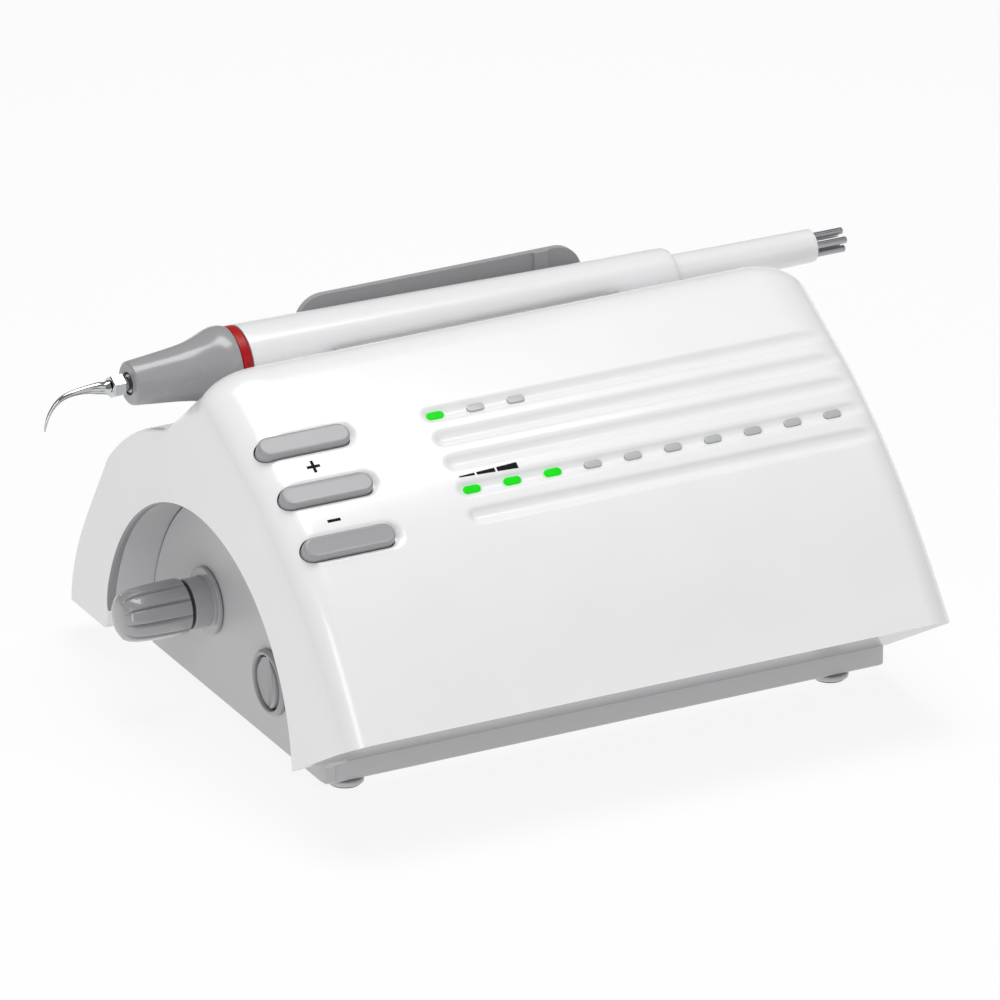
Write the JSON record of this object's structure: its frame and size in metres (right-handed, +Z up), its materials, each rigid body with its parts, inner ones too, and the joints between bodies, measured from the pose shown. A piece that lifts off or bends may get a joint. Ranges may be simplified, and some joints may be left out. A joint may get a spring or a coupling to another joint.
{
  "type": "ultrasonic dental scaler",
  "caption": "Tabletop dental scaler with a sloping front of grooves, keys and lights, a side water knob and power switch, and a slim handpiece lying in a cradle behind the crown.",
  "frame": {"origin": "centre of the bounding box at the height of the feet's undersides", "axes": "+X along the handpiece from its tip to its connector, +Y from the front slope to the rear panel, +Z up"},
  "size_m": [0.2402, 0.1696, 0.1042],
  "materials": {
    "cover": "glossy white moulded plastic",
    "tray": "satin light grey plastic",
    "holder": "satin mid grey plastic",
    "key": "satin grey plastic",
    "knob": "glossy grey plastic",
    "lens": "clear light guide, lit green where on",
    "foot": "dark matt rubber",
    "rubber": "black rubber",
    "black": "black plastic",
    "circuit": "green circuit board",
    "copper": "enamelled copper winding",
    "sleeve": "dark blue shrink sleeve",
    "tube": "translucent water tube",
    "aluminium": "extruded aluminium",
    "steel": "steel",
    "chrome": "polished stainless steel",
    "brass": "machined brass",
    "ceramic": "piezo ceramic rings",
    "nozzle": "satin grey plastic",
    "red": "deep red plastic",
    "sheath": "glossy white plastic"
  },
  "bodies": {
    "unit": {"top_shell": "cover", "base_tray": "tray", "rear_cover": "tray", "handpiece_holder": "holder", "front_left_foot": "foot", "front_right_foot": "foot", "rear_left_foot": "foot", "rear_right_foot": "foot", "mode_light_guide": "lens", "level_light_guide": "lens", "control_board": "circuit", "option_switch": "black", "plus_switch": "black", "minus_switch": "black", "main_board": "circuit", "transformer": "copper", "solenoid_valve": "black", "heat_sink": "aluminium", "storage_capacitor_a": "sleeve", "storage_capacitor_b": "sleeve", "output_choke": "copper", "valve_tube": "tube", "inlet_tube": "tube", "outlet_tube": "tube", "valve_body": "brass", "knob_collar": "knob", "knob_o_ring": "rubber", "switch_bezel": "key", "switch_body": "black", "power_inlet": "black", "foot_switch_socket": "steel", "handpiece_cord_gland": "rubber", "water_inlet_fitting": "chrome", "front_left_screw": "steel", "front_right_screw": "steel", "rear_left_screw": "steel", "rear_right_screw": "steel", "rear_cover_screw_left": "steel", "rear_cover_screw_right": "steel"},
    "option_key": {"option_button": "key"},
    "plus_key": {"plus_button": "key"},
    "minus_key": {"minus_button": "key"},
    "knob": {"water_knob": "knob"},
    "needle": {"valve_needle": "steel"},
    "rocker": {"power_rocker": "key"},
    "handpiece": {"handpiece_nozzle": "nozzle", "red_ring": "red", "handpiece_sheath": "sheath", "handpiece_tail": "sheath", "contact_pins": "steel", "transducer_horn": "steel", "horn_o_ring": "rubber", "piezo_stack": "ceramic", "rear_mass": "steel"},
    "tip": {"scaler_tip": "chrome"}
  },
  "joints": [
    {"name": "option_press", "type": "slide", "parent": "unit", "child": "option_key", "axis": [0, 0.5231, -0.8523], "range_m": [0, 0.0008], "stiffness_N_per_m": 900, "springref_m": -0.0004},
    {"name": "plus_press", "type": "slide", "parent": "unit", "child": "plus_key", "axis": [0, 0.5714, -0.8206], "range_m": [0, 0.0008], "stiffness_N_per_m": 900, "springref_m": -0.0004},
    {"name": "minus_press", "type": "slide", "parent": "unit", "child": "minus_key", "axis": [0, 0.6358, -0.7719], "range_m": [0, 0.0008], "stiffness_N_per_m": 900, "springref_m": -0.0004},
    {"name": "knob_turn", "type": "hinge", "parent": "unit", "child": "knob", "pos_m": [-0.08893, 0.0256, 0.0286], "axis": [1, 0, 0], "range_deg": [0, 270]},
    {"name": "needle_turn", "type": "hinge", "parent": "unit", "child": "needle", "pos_m": [-0.08693, 0.0256, 0.0286], "axis": [1, 0, 0], "range_deg": [0, 270]},
    {"name": "rocker_tilt", "type": "hinge", "parent": "unit", "child": "rocker", "pos_m": [-0.07413, -0.0121, 0.0198], "axis": [0, 0, 1], "range_deg": [0, 16]},
    {"name": "handpiece_lift", "type": "slide", "parent": "unit", "child": "handpiece", "axis": [0, 0, 1], "range_m": [0, 0.06]},
    {"name": "tip_unscrew", "type": "hinge", "parent": "handpiece", "child": "tip", "pos_m": [-0.10093, 0.0308, 0.0936], "axis": [1, 0, 0], "range_deg": [0, 360]}
  ],
  "couplings": [
    {"joint": "needle_turn", "follows": "knob_turn", "ratio": 1}
  ]
}
